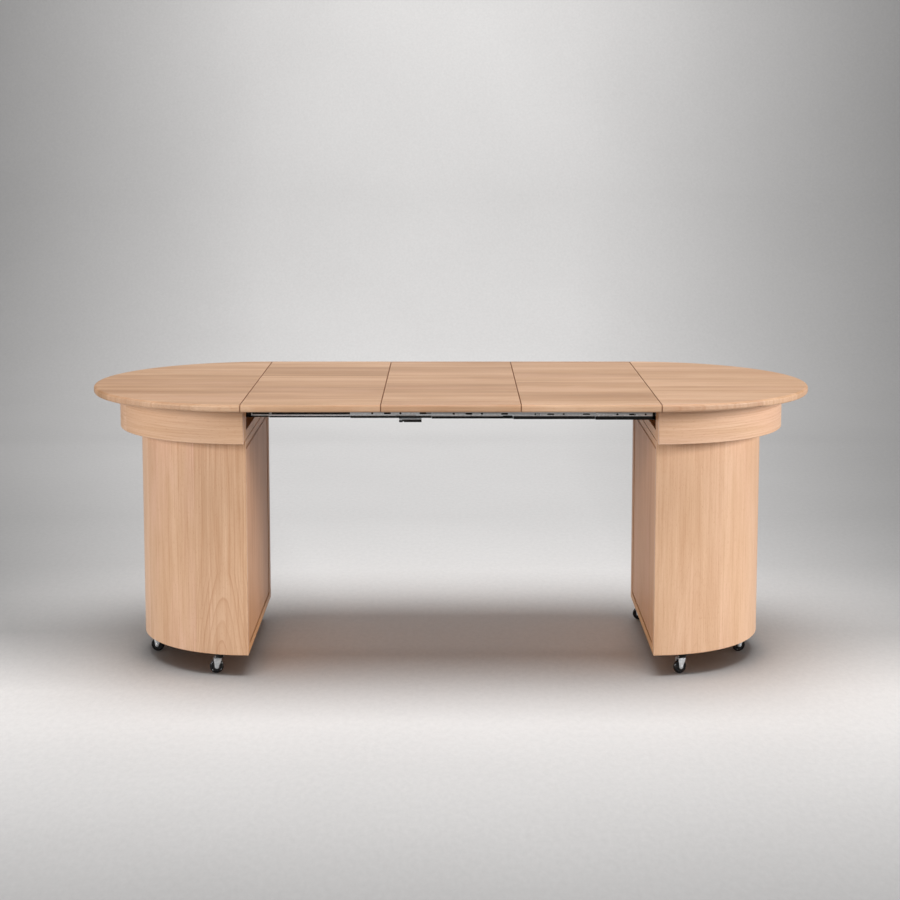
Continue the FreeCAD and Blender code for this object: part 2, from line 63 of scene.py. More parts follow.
class Shader:
    """One material's node tree, with a short call for each kind of node."""

    def __init__(self, name):
        self.material = bpy.data.materials.new(name)
        self.material.use_nodes = True
        self.tree = self.material.node_tree
        self.surface = self.tree.nodes["Principled BSDF"]
        self.coordinates = None

    def connect(self, value, socket):
        """Links a socket to another, or sets a number or a colour on it."""
        if isinstance(value, bpy.types.NodeSocket):
            self.tree.links.new(value, socket)
        else:
            socket.default_value = (*value, 1) if isinstance(value, tuple) else value

    def node(self, kind, inputs, **settings):
        """Adds a node and gives it its settings and its inputs."""
        made = self.tree.nodes.new(kind)
        for key, value in settings.items():
            setattr(made, key, value)
        for key, value in inputs.items():
            self.connect(value, made.inputs[key])
        return made

    def math(self, operation, *values):
        """A Math node's result."""
        return self.node("ShaderNodeMath", dict(enumerate(values)), operation=operation).outputs[0]

    def plus(self, first, second):
        """The sum of two values."""
        return self.math("ADD", first, second)

    def minus(self, first, second):
        """The difference of two values."""
        return self.math("SUBTRACT", first, second)

    def times(self, first, second):
        """The product of two values."""
        return self.math("MULTIPLY", first, second)

    def over(self, first, second):
        """The first value divided by the second."""
        return self.math("DIVIDE", first, second)

    def position(self):
        """The object's own coordinates, in metres, as three sockets."""
        if self.coordinates is None:
            source = self.node("ShaderNodeTexCoord", {}).outputs["Object"]
            split = self.node("ShaderNodeSeparateXYZ", {0: source})
            self.coordinates = tuple(split.outputs)
        return self.coordinates

    def vector(self, x, y, z):
        """Three sockets or numbers as one vector."""
        return self.node("ShaderNodeCombineXYZ", {0: x, 1: y, 2: z}).outputs[0]

    def noise(self, vector, detail, roughness=0.5, scale=1.0):
        """Noise from 0 to 1."""
        inputs = {"Vector": vector, "Scale": scale, "Detail": detail, "Roughness": roughness}
        return self.node("ShaderNodeTexNoise", inputs).outputs[0]

    def random(self, value):
        """A random number from 0 to 1 for each whole value."""
        return self.node("ShaderNodeTexWhiteNoise", {"W": value},
                         noise_dimensions="1D").outputs[0]

    def ramp(self, factor, *stops):
        """A colour ramp through (place, colour) stops, where a number is a grey."""
        made = self.node("ShaderNodeValToRGB", {0: factor})
        elements = made.color_ramp.elements
        while len(elements) < len(stops):
            elements.new(0.5)
        for element, (place, colour) in zip(elements, stops):
            element.position = place
            element.color = (*(colour if isinstance(colour, tuple) else (colour,) * 3), 1)
        return made.outputs[0]

    def steps(self, factor, stops):
        """Three numbers from 0 to 1 that jump at each (place, numbers) stop."""
        made = self.node("ShaderNodeValToRGB", {0: factor})
        made.color_ramp.interpolation = "CONSTANT"
        elements = made.color_ramp.elements
        while len(elements) < len(stops):
            elements.new(0.5)
        while len(elements) > len(stops):
            elements.remove(elements[-1])
        for element, (place, numbers) in zip(elements, stops):
            element.position = min(max(place, 0.0), 1.0)
            element.color = (*numbers, 1)
        return tuple(self.node("ShaderNodeSeparateColor", {0: made.outputs[0]}).outputs)

    def mix(self, factor, first, second, blend="MIX"):
        """Two colours mixed."""
        made = self.node("ShaderNodeMix", {}, data_type="RGBA", blend_type=blend)
        for socket, value in zip((made.inputs[0], made.inputs[6], made.inputs[7]),
                                 (factor, first, second)):
            self.connect(value, socket)
        return made.outputs[2]

    def finish(self, colour, roughness, bump=None, bump_distance=0.0002, **values):
        """Connects the surface: sockets are linked, and numbers are set on the shader."""
        self.connect(colour, self.surface.inputs["Base Color"])
        self.connect(roughness, self.surface.inputs["Roughness"])
        if bump is not None:
            made = self.node("ShaderNodeBump", {"Height": bump, "Strength": BUMP_STRENGTH,
                                                "Distance": bump_distance})
            self.connect(made.outputs[0], self.surface.inputs["Normal"])
        for name, value in values.items():
            self.surface.inputs[name.replace("_", " ")].default_value = value
        return self.material


# ---- wood -----------------------------------------------------------------------

BEECH_LINE = (0.330, 0.125, 0.034)
# The painted shade in the gaps at the top's seams.
PAINTED_SEAM_SHADE = (0.190, 0.070, 0.022)
# Each wood's dark, middle, light and pale pink.
PEDESTAL_WOODS = ((0.440, 0.245, 0.130), (0.605, 0.388, 0.248), (0.750, 0.520, 0.370),
                  (0.660, 0.420, 0.305))
TOP_WOODS = ((0.235, 0.124, 0.060), (0.385, 0.230, 0.130), (0.555, 0.361, 0.235),
             (0.455, 0.275, 0.177))
PANEL_WOODS = ((0.360, 0.165, 0.075), (0.520, 0.282, 0.150), (0.660, 0.410, 0.255),
               (0.560, 0.310, 0.195))
# A darker, more orange wood for the inner faces under the top: painted shade.
SHADED_INNER_WOODS = ((0.420, 0.190, 0.070), (0.580, 0.310, 0.140), (0.700, 0.430, 0.230),
              (0.600, 0.330, 0.180))

# Boards lie between -BOARD_REACH and BOARD_REACH, and BOARD_SHIFT keeps their noise apart.
BOARD_REACH = 1.6
MOST_BOARDS = 30
BOARD_SHIFT = 7.0
# The ranges that random boards are drawn from. Widths and hearts are shares of a board's
# width, and arched boards have their heart inside them.
ARCHED_SHARE = 0.3
WIDTH_RANGE, ARCHED_HEARTS, STRAIGHT_HEARTS = (0.7, 1.3), (0.3, 0.7), (0.9, 1.6)
ARCHED_LEANS, STRAIGHT_LEANS = (0.07, 0.13), (-0.015, 0.015)
TONE_RANGE, FIGURE_RANGE = (-0.3, 0.3), (0.15, 0.7)
BLUSH_RANGE, RISE_RANGE = (0.0, 1.0), (-0.3, 0.6)

# How fine each layer of the figure is, along and across the grain.
SLOW_BENDS, QUICK_BENDS = (1.5, 7.0), (8.0, 50.0)
FIBRES, RAYS, GRAIN_LINES = (10.0, 600.0), (110.0, 420.0), (4.0, 190.0)
CLOUDS, BLUSHES = (3.0, 9.0), (2.0, 8.0)
STREAKS_ALONG = 1.2

# How wide the rings' heart is, and how far the bends push the rings, in metres.
HEART_SIZE, SLOW_PUSH, QUICK_PUSH = 0.04, 0.03, 0.003
RING_UNEVENNESS = 1.6
# How much of each layer shows.
# PAINTED_EDGE_LIGHT is how much lighter the painted light makes the top's edges.
CLOUD_SWING, RING_SWING, PAINTED_EDGE_LIGHT = 0.5, 0.16, 0.32
BLUSH_SHARE, RING_SHARE, LINE_SHARE, RAY_SHARE = 0.8, 0.5, 0.36, 0.22
FAINTEST_RING, RING_CONTRAST = 0.25, 0.9
FIBRE_RELIEF, RING_RELIEF, FIBRE_ROUGHNESS = 0.7, 0.3, 0.12
GLUE_LINE_HALF, SEAM_REACH = 0.0005, 0.004

Board = namedtuple("Board", "start heart lean tone figure blush rise")


def plank_axes(shader, grain):
    """Along, across and through the grain, in metres, for one way of laying it."""
    x, y, z = shader.position()
    end, _, way = grain.partition("_")
    if end not in ENDS:
        return {"x": (x, y, z), "y": (y, x, z), "z": (z, y, x)}[grain]
    outward = shader.minus(shader.times(x, ENDS[end]), SEAM_X)
    angle = shader.math("ARCTAN2", y, outward)
    radius = shader.math("SQRT", shader.plus(shader.math("POWER", outward, 2),
                                             shader.math("POWER", y, 2)))
    round_way = shader.times(angle, PEDESTAL_RADIUS)
    return (round_way, z, radius) if way == "arc" else (z, round_way, radius)


def sawn_boards(seed, width, low, high, known=()):
    """Boards side by side, as a list of Board.

    heart is where the tree's heart lay, across the board. Below rise, along the board, the
    rings close over the heart in arches, which a smaller lean draws out longer. known is
    (board, end) pairs that take the place of random boards.
    """
    chance = random.Random(seed)
    boards = []
    place = low
    while place < high and len(boards) < MOST_BOARDS:
        step = width * chance.uniform(*WIDTH_RANGE)
        arched = chance.random() < ARCHED_SHARE
        heart = place + step * (chance.uniform(*ARCHED_HEARTS) if arched else chance.choice(
            (-1, 2)) * chance.uniform(*STRAIGHT_HEARTS))
        lean = chance.uniform(*(ARCHED_LEANS if arched else STRAIGHT_LEANS))
        boards.append(Board(place, heart, abs(lean), tone=chance.uniform(*TONE_RANGE),
                            figure=chance.uniform(*FIGURE_RANGE),
                            blush=chance.uniform(*BLUSH_RANGE),
                            rise=chance.uniform(*RISE_RANGE)))
        place += step
    for board, end in known:
        boards = [other for other in boards if not board[0] <= other.start < end]
        behind = max((other for other in boards if other.start < end), default=boards[0])
        boards += [Board(*board), behind._replace(start=end)]
    return sorted(boards)


def share_of_reach(place):
    """A place between the boards' limits as a number from 0 to 1."""
    return place / (2 * BOARD_REACH) + 0.5


def beech(name, grain, boards, split="across", tone=0.0, tone_spread=0.3, figure=1.0,
          ring_gap=0.0095, sheen=0.46, gloss=0.25, streaks=0.8, streak_size=0.02, joint=0.4,
          lines=1.0, seams=(), woods=PEDESTAL_WOODS, edge_below=None):
    """Lacquered beech: glued boards with growth rings, fibres, ray flecks and blotches.

    The boards lie side by side, or end to end where split is "along". joint is how far
    their glue lines darken. seams are places along the grain where a painted shade
    darkens the wood at a gap, and below the height edge_below a painted light makes it lighter.
    """
    shader = Shader(name)
    plus, minus, times, over = shader.plus, shader.minus, shader.times, shader.over
    along, across, through = plank_axes(shader, grain)

    # Each board's own numbers, looked up by its place.
    place = along if split == "along" else across
    factor = plus(over(place, 2 * BOARD_REACH), 0.5)

    def board_numbers(pick):
        """Sockets for the three numbers that pick gives for each board."""
        return shader.steps(factor, [(share_of_reach(board.start), pick(index, board))
                                     for index, board in enumerate(boards)])

    def place_of(share):
        """The place between the boards' limits that a socket from 0 to 1 stands for."""
        return times(minus(share, 0.5), 2 * BOARD_REACH)

    heart, lean, board_tone = board_numbers(lambda index, board: (
        share_of_reach(board.heart), board.lean + 0.5, board.tone + 0.5))
    board_figure, board_blush, rise = board_numbers(lambda index, board: (
        board.figure, board.blush, share_of_reach(board.rise)))
    number = board_numbers(lambda index, board: (index / MOST_BOARDS,) * 3)[0]
    heart, rise = place_of(heart), place_of(rise)
    lean = minus(lean, 0.5)
    board_shift = times(number, BOARD_SHIFT * MOST_BOARDS)

    def board_noise(scales, detail, roughness=0.5, shift=0.0):
        """Noise drawn out along the grain, another one on each board."""
        return shader.noise(shader.vector(times(along, scales[0]), times(across, scales[1]),
                                          plus(board_shift, shift)), detail, roughness)

    def fibre_noise(scales, detail, roughness=0.5):
        """Noise drawn out along the grain, which goes on through the boards."""
        return shader.noise(shader.vector(times(along, scales[0]), times(across, scales[1]),
                                          times(through, scales[1])), detail, roughness)

    # Growth rings round the heart, which rise or fall along the board.
    slow = board_noise(SLOW_BENDS, 2.0, 0.45)
    quick = board_noise(QUICK_BENDS, 2.0)
    sideways = minus(across, heart)
    radius = shader.math("SQRT", plus(shader.math("POWER", sideways, 2), HEART_SIZE ** 2))
    climb = times(minus(rise, along), lean)
    radius = minus(radius, shader.math("MAXIMUM", climb, 0.0))
    radius = plus(plus(radius, times(slow, SLOW_PUSH)), times(quick, QUICK_PUSH))
    years = over(radius, ring_gap)
    uneven = shader.noise(shader.vector(times(years, 0.7), board_shift, 0.0), 1.0)
    years = plus(years, times(uneven, RING_UNEVENNESS))
    rings = shader.math("FRACT", years)
    ring_tone = shader.random(plus(shader.math("FLOOR", years), board_shift))
    ring_line = shader.ramp(rings, (0.0, 0.0), (0.5, 0.1), (0.8, 0.45), (0.92, 1.0), (1.0, 0.0))

    # Fine fibres, short dark rays, grain lines, slow streaks and cloudy blotches.
    fibre = fibre_noise(FIBRES, 3.0, 0.65)
    rays = shader.ramp(fibre_noise(RAYS, 2.0), (0.58, 0.0), (0.72, 1.0))
    grain_line = shader.ramp(board_noise(GRAIN_LINES, 3.0, 0.7, shift=5.0), (0.48, 0.0),
                             (0.72, 1.0))
    streak = board_noise((STREAKS_ALONG, 1 / streak_size), 4.0, 0.62, shift=3.0)
    cloud = board_noise(CLOUDS, 3.0)
    blush = board_noise(BLUSHES, 3.0, 0.6, shift=9.0)

    def swing(value, amount):
        """A value from 0 to 1 turned into a swing of that amount about 0."""
        return times(minus(value, 0.5), amount)

    # How light the wood is at each point, and its colour.
    level = plus(swing(board_tone, tone_spread), 0.5 + tone)
    level = plus(level, swing(streak, streaks))
    level = plus(level, swing(cloud, CLOUD_SWING))
    level = plus(level, times(swing(ring_tone, board_figure), RING_SWING))
    # Painted light: the edges below edge_below are lighter, as the light falls on them.
    if edge_below is not None:
        height = shader.position()[2]
        level = plus(level, times(shader.math("LESS_THAN", height, edge_below), PAINTED_EDGE_LIGHT))
    dark, middle, light, pale = woods
    colour = shader.ramp(level, (0.0, dark), (0.5, middle), (1.0, light))
    pink = times(shader.ramp(blush, (0.4, 0.0), (0.66, 1.0)), times(board_blush, BLUSH_SHARE))
    colour = shader.mix(pink, colour, pale)
    boldness = plus(FAINTEST_RING, times(ring_tone, RING_CONTRAST))
    patchy = shader.ramp(cloud, (0.3, 0.35), (0.7, 1.0))
    ring_share = times(times(ring_line, patchy),
                       times(times(board_figure, boldness), RING_SHARE * figure))
    colour = shader.mix(ring_share, colour, BEECH_LINE)
    colour = shader.mix(shader.ramp(fibre, (0.42, 0.0), (0.8, 0.4)), colour, dark)
    colour = shader.mix(times(grain_line, LINE_SHARE * lines), colour, BEECH_LINE)
    colour = shader.mix(times(rays, RAY_SHARE), colour, BEECH_LINE)

    if joint and len(boards) > 1:
        glue_lines = 0.0
        for board in boards[1:]:
            from_joint = shader.math("ABSOLUTE", minus(place, board.start))
            glue_lines = shader.math("MAXIMUM", glue_lines, shader.math(
                "LESS_THAN", from_joint, GLUE_LINE_HALF))
        colour = shader.mix(times(glue_lines, joint), colour, BEECH_LINE)
    # Painted shade: the wood darkens towards each seam, as a shadow in the gap.
    for seam in seams:
        from_seam = shader.math("ABSOLUTE", minus(along, seam))
        colour = shader.mix(shader.ramp(over(from_seam, SEAM_REACH), (0.18, 0.8), (0.42, 0.0)),
                            colour, PAINTED_SEAM_SHADE)

    rough = plus(sheen, swing(fibre, FIBRE_ROUGHNESS))
    relief = plus(times(fibre, FIBRE_RELIEF), times(ring_line, RING_RELIEF))
    return shader.finish(colour, rough, relief, bump_distance=0.0003, Coat_Weight=0.05,
                         Coat_Roughness=0.3, Specular_IOR_Level=gloss)


# ---- metal, plastic and rubber --------------------------------------------------

# The painted shade's grey, and how quickly it deepens above shaded_above.
PAINTED_SHADE_GREY, PAINTED_SHADE_SLOPE = (0.12, 0.12, 0.12), 400.0
SPANGLE_SCALE, MARKS_SCALE, SCUFF_SCALE, BLACK_GRAIN_SCALE = 160.0, 22.0, 90.0, 1400.0
ROLLED_ALONG, ROLLED_ACROSS = 12.0, 700.0
MARKS_SHARE, STREAK_ROUGHNESS, MARK_ROUGHNESS, SCUFF_ROUGHNESS = 0.35, 0.16, 0.12, 0.2


def zinc(name, bright, dark, roughness=0.42, shaded_above=None):
    """Zinc plate on rolled steel: faint spangle, rolling streaks and handling marks.

    Above the height shaded_above, a painted shade darkens it where the table top shades the
    slides.
    """
    shader = Shader(name)
    plus, times = shader.plus, shader.times
    x, y, z = shader.position()
    place = shader.vector(x, y, z)
    spangle = shader.noise(place, 2.0, 0.6, scale=SPANGLE_SCALE)
    streaks = shader.noise(shader.vector(times(x, ROLLED_ALONG), times(y, ROLLED_ACROSS),
                                         times(z, ROLLED_ACROSS)), 2.0)
    marks = shader.ramp(shader.noise(place, 4.0, 0.65, scale=MARKS_SCALE), (0.52, 0.0),
                        (0.68, 1.0))
    colour = shader.mix(shader.ramp(spangle, (0.35, 0.0), (0.7, 0.5)), bright, dark)
    colour = shader.mix(times(marks, MARKS_SHARE), colour, dark)
    # Painted shade: darker grey towards the top, where the table top shades the slides.
    if shaded_above is not None:
        painted_shade_ramp = shader.ramp(times(shader.minus(z, shaded_above), PAINTED_SHADE_SLOPE), (0.0, 0.0),
                           (0.9, 0.4))
        colour = shader.mix(painted_shade_ramp, colour, PAINTED_SHADE_GREY)
    rough = plus(roughness - STREAK_ROUGHNESS / 2, plus(times(streaks, STREAK_ROUGHNESS),
                                                        times(marks, MARK_ROUGHNESS)))
    return shader.finish(colour, rough, streaks, Metallic=0.55)


def black_parts(name, base, dust, roughness=0.4, dust_share=0.35, gloss=0.25):
    """Black paint, nylon or rubber with a little dust and scuffing."""
    shader = Shader(name)
    place = shader.vector(*shader.position())
    grain = shader.noise(place, 2.0, scale=BLACK_GRAIN_SCALE)
    scuff = shader.ramp(shader.noise(place, 4.0, 0.7, scale=SCUFF_SCALE), (0.5, 0.0),
                        (0.8, 1.0))
    colour = shader.mix(shader.times(scuff, dust_share), base, dust)
    rough = shader.plus(roughness, shader.times(scuff, SCUFF_ROUGHNESS))
    return shader.finish(colour, rough, grain, Specular_IOR_Level=gloss)


# ---- the CAD nodes' materials ---------------------------------------------------

def dress(name, material):
    """Puts a material on a CAD node in place of its own."""
    slots = NODES[name].data.materials
    slots.clear()
    slots.append(material)


SLIDE_ZINC = zinc("slide_zinc", (0.84, 0.90, 0.94), (0.50, 0.54, 0.57), shaded_above=0.7195)
FORK_ZINC = zinc("fork_zinc", (0.62, 0.64, 0.65), (0.34, 0.35, 0.36), 0.28)
BRIGHT_ZINC = zinc("bright_zinc", (0.92, 0.93, 0.94), (0.66, 0.67, 0.68), 0.25)
BLACK_PAINT = black_parts("black_paint", (0.006, 0.006, 0.006), (0.035, 0.034, 0.032))
RUBBER = black_parts("lock_rubber", (0.012, 0.012, 0.012), (0.10, 0.095, 0.09), 0.5, 0.3)
NYLON = black_parts("wheel_nylon", (0.003, 0.003, 0.0035), (0.02, 0.02, 0.02), 0.2, 0.2, 0.5)
PLATE_STEEL = zinc("plate_steel", (0.16, 0.16, 0.165), (0.08, 0.08, 0.085), 0.4)

# Seed, board width and tone of each board of the top. Their edges, below EDGE_TOP, are painted
# lighter, a painted light on the edges, and each has a painted shade at its seams, which lie
# within SEAM_MARGIN of the leaves.
TOP_BOARDS = {
    "left_half_top": (3, 0.11, -0.02),
    "leaf_1": (14, 0.13, -0.03),
    "leaf_2": (9, 0.07, -0.12),
    "leaf_3": (21, 0.10, -0.05),
    "right_half_top": (33, 0.09, 0.17),
}
EDGE_TOP = TOP_Z - 0.004
SEAM_MARGIN = 0.01
for node, (seed, width, tone) in TOP_BOARDS.items():
    boards = sawn_boards(seed, width, -TOP_RADIUS, TOP_RADIUS)
    seams = [corner.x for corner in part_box(node) if abs(corner.x) < SEAM_X + SEAM_MARGIN]
    dress(node, beech(f"{node}_beech", "x", boards, tone=tone, tone_spread=0.7, streaks=1.3,
                      streak_size=0.045, sheen=0.52, gloss=0.3, seams=seams,
                      woods=TOP_WOODS, edge_below=EDGE_TOP))
for index in (1, 2, 3):
    boards = sawn_boards(49 + index, 0.4, -SEAM_X, SEAM_X)
    dress(f"leaf_battens_{index}", beech(f"batten_{index}_beech", "y", boards, tone=-0.08))

# The aprons' bent boards are joined end to end; the pedestals' staves stand side by side.
# Those that stand out in the photograph are given, each with the place where it ends.
APRON_BLOCKS = {
    "left": (((-0.155, 0.9, 0.01, 0.5, 0.3, 0.2, 0.0), -0.133),
             ((-0.133, 0.8, -0.01, 0.1, 0.3, 0.9, 0.0), -0.06)),
    "right": (((-0.105, 0.9, 0.01, 0.5, 0.3, 0.2, 0.0), -0.075),
              ((-0.075, 0.8, -0.01, 0.2, 0.3, 0.6, 0.0), 0.05)),
}
STAVES = {
    "left": (((-0.530, -0.443, 0.13, -0.1, 1.0, 0.1, 0.29), -0.363),
             ((-0.363, -1.1, 0.0, -0.05, 0.1, 1.0, 0.0), -0.159),
             ((-0.159, 0.7, 0.01, 0.5, 0.25, 0.3, 0.0), 0.02)),
    "right": (((-0.530, -0.392, 0.14, 0.0, 0.4, 0.2, 0.34), -0.321),
              ((-0.321, 0.6, 0.012, 0.15, 0.3, 0.5, 0.0), -0.08)),
}
PEDESTAL_LOOKS = {
    "left": dict(tone=-0.07, streaks=0.7),
    "right": dict(tone=-0.06, streaks=0.5, figure=0.7, lines=0.7),
}
END_SEEDS = {"left": 5, "right": 47}
APRON_TONES = {"left": 0.02, "right": 0.12}
for end in ENDS:
    seed = END_SEEDS[end]
    blocks = sawn_boards(seed, 0.7, -0.6, 0.6, APRON_BLOCKS[end])
    dress(f"{end}_apron_shell", beech(f"{end}_apron_beech", f"{end}_arc", blocks, "along",
                                      tone=APRON_TONES[end], ring_gap=0.012, figure=1.2,
                                      joint=0.3))
    staves = sawn_boards(seed + 1, 0.14, -0.53, 0.53, STAVES[end])
    dress(f"{end}_pedestal_shell", beech(f"{end}_pedestal_beech", f"{end}_upright", staves,
                                         tone_spread=0.5, **PEDESTAL_LOOKS[end]))
    staves = sawn_boards(seed + 2, 0.11, -0.4, 0.4)
    panel = beech(f"{end}_panel_beech", "z", staves, tone=-0.05, gloss=0.1, lines=1.3,
                  woods=PANEL_WOODS)
    for piece in ("pedestal_panel", "pedestal_stiles"):
        dress(f"{end}_{piece}", panel)
    # Painted shade: the inner end blocks and frame boards are drawn in the darker inner wood.
    dress(f"{end}_apron_end_blocks", beech(f"{end}_block_beech", "z", staves, tone=-0.15,
                                           gloss=0.1, woods=SHADED_INNER_WOODS))
    cross = beech(f"{end}_frame_beech", "y", sawn_boards(seed + 3, 0.3, -1.2, 1.2),
                  figure=0.6, tone=-0.1, joint=0, woods=SHADED_INNER_WOODS)
    for piece in ("cross_rail", "apron_base", "pedestal_base", "pedestal_top_board"):
        dress(f"{end}_{piece}", cross)
    dress(f"{end}_slide_bearers", beech(f"{end}_bearer_beech", "x",
                                        sawn_boards(seed + 4, 0.2, -0.4, 0.4), joint=0))
    dress(f"{end}_screws", SLIDE_ZINC)
    dress(f"{end}_caster_plates", PLATE_STEEL)
    for corner in CORNERS:
        dress(f"{end}_{corner}_fork", FORK_ZINC)
        dress(f"{end}_{corner}_wheel", NYLON)
for number in range(1, 7):
    dress(f"slide_member_{number}", SLIDE_ZINC)
dress("lock_bracket", SLIDE_ZINC)
dress("lock_lever", BLACK_PAINT)
dress("lock_grip", RUBBER)


# ---- mesh helpers ---------------------------------------------------------------

CORNER_STEPS = 4
SHARP_ANGLE = math.radians(35)
# Stands local XY upright, with local Z towards the front of the table.
TO_FRONT = Matrix(((1, 0, 0, 0), (0, 0, -1, 0), (0, 1, 0, 0), (0, 0, 0, 1)))


def on_front(x, y, z):
    """Places local XY on a plane that faces the front of the table."""
    return Matrix.Translation((x, y, z)) @ TO_FRONT


def upside_down(x, y, z):
    """Places a profile so that its local Z points down."""
    return Matrix.Translation((x, y, z)) @ Matrix.Rotation(math.pi, 4, "X")


def rounded(width, height, radius):
    """Outline of a rounded rectangle about the origin."""
    points = []
    for turn, (sign_x, sign_y) in enumerate(((1, 1), (-1, 1), (-1, -1), (1, -1))):
        for step in range(CORNER_STEPS + 1):
            angle = math.pi / 2 * (turn + step / CORNER_STEPS)
            points.append((sign_x * (width / 2 - radius) + radius * math.cos(angle),
                           sign_y * (height / 2 - radius) + radius * math.sin(angle)))
    return points


def prism(whole, outline, depth, place, bevel=0.0):
    """Adds an outline in the local XY plane, raised along local Z, with softened edges."""
    part = bmesh.new()
    face = part.faces.new([part.verts.new((x, y, 0)) for x, y in outline])
    raised = bmesh.ops.extrude_face_region(part, geom=[face])["geom"]
    tops = [item for item in raised if isinstance(item, bmesh.types.BMVert)]
    bmesh.ops.translate(part, vec=(0, 0, depth), verts=tops)
    if bevel:
        bmesh.ops.bevel(part, geom=part.edges[:], offset=bevel, segments=2, profile=0.5,
                        affect="EDGES")
    join(whole, part, place)


def lathe(whole, profile, place=Matrix(), segments=20):
    """Adds a closed (radius, height) profile turned about local Z."""
    part = bmesh.new()
    rings = []
    for step in range(segments):
        angle = 2 * math.pi * step / segments
        rings.append([part.verts.new((r * math.cos(angle), r * math.sin(angle), h))
                      for r, h in profile])
    count = len(profile)
    for step in range(segments):
        here, there = rings[step], rings[(step + 1) % segments]
        for index in range(count):
            following = (index + 1) % count
            part.faces.new((here[index], there[index], there[following], here[following]))
    bmesh.ops.remove_doubles(part, verts=part.verts[:], dist=1e-6)
    join(whole, part, place)


def join(whole, part, place):
    """Moves a part into place and adds it to the whole piece."""
    bmesh.ops.recalc_face_normals(part, faces=part.faces[:])
    part.transform(place)
    mesh = bpy.data.meshes.new("part")
    part.to_mesh(mesh)
    part.free()
    whole.from_mesh(mesh)
    bpy.data.meshes.remove(mesh)


def mirrored(whole):
    """Adds the mirror image across the table's long middle plane."""
    copies = bmesh.ops.duplicate(whole, geom=whole.verts[:] + whole.edges[:] + whole.faces[:])
    verts = [item for item in copies["geom"] if isinstance(item, bmesh.types.BMVert)]
    faces = [item for item in copies["geom"] if isinstance(item, bmesh.types.BMFace)]
    bmesh.ops.scale(whole, vec=(1, -1, 1), verts=verts)
    bmesh.ops.reverse_faces(whole, faces=faces)


def add_piece(name, whole, body, slot, material, *replaced):
    """Makes a piece of a bmesh with its material, rides it on its body and hides the parts it
    replaces.
    """
    mesh = bpy.data.meshes.new(name)
    whole.to_mesh(mesh)
    whole.free()
    for face in mesh.polygons:
        face.use_smooth = True
    mesh.set_sharp_from_angle(angle=SHARP_ANGLE)
    mesh.materials.append(material)
    piece = bpy.data.objects.new(name, mesh)
    bpy.context.scene.collection.objects.link(piece)
    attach(piece, body)
    if replaced:
        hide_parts(*replaced)


# ---- slide fittings -------------------------------------------------------------

STRIP_DEPTH, COVER_DEPTH, STRIP_ROUND = 0.00035, 0.00021, 0.3
MEMBER_BODIES = {1: "left_end", 2: "slide_2", 3: "slide_3", 4: "slide_4", 5: "slide_5",
                 6: "right_end"}
OUTERMOST_MEMBER = 6
# These members carry the cap of a T rail on their front.
CAPPED_MEMBERS = (3, 4, 5)
MEMBER_PITCH, MEMBER_SHEET, MEMBER_GAP = 0.010, 0.002, 0.0006
# The cap of a T rail stands this far out from its member and starts at this height.
CAP_REACH, CAP_LOW_Z = 0.0074, 0.7094
HOLE_Z, HOLE_RADIUS, PLUG_SINK, PLUG_ROUND = 0.7209, 0.0030, 0.0008, 0.95
# The strips stop short of the member's ends, and the ball cages of its ends and edges.
STRIP_INSET, STRIP_RISE, CAP_GAP, BEAD_INSET = 0.0005, 0.0001, 0.0002, 0.001
CAGE_SHEET, OPEN_CAGE_SHEET, CAGE_INSET, CAGE_EDGE = 0.0002, 0.0003, 0.006, 0.0021
BEAD_STEPS = 8


def face_strip(whole, y, x_low, x_high, z_low, z_high, depth=STRIP_DEPTH):
    """A thin strip on a slide member's outer face."""
    width, height = x_high - x_low, z_high - z_low
    outline = rounded(width, height, min(width, height) * STRIP_ROUND)
    prism(whole, outline, depth, on_front((x_low + x_high) / 2, y, (z_low + z_high) / 2))


def rivet(whole, y, x, z, radius):
    """A low riveted head with a ring pressed round its middle."""
    shape = ((0, 0), (1, 0), (0.92, 0.7), (0.6, 1), (0.5, 0.5), (0.35, 0.6), (0, 0.9))
    lathe(whole, [(radius * r, STRIP_DEPTH * h) for r, h in shape], on_front(x, y, z))


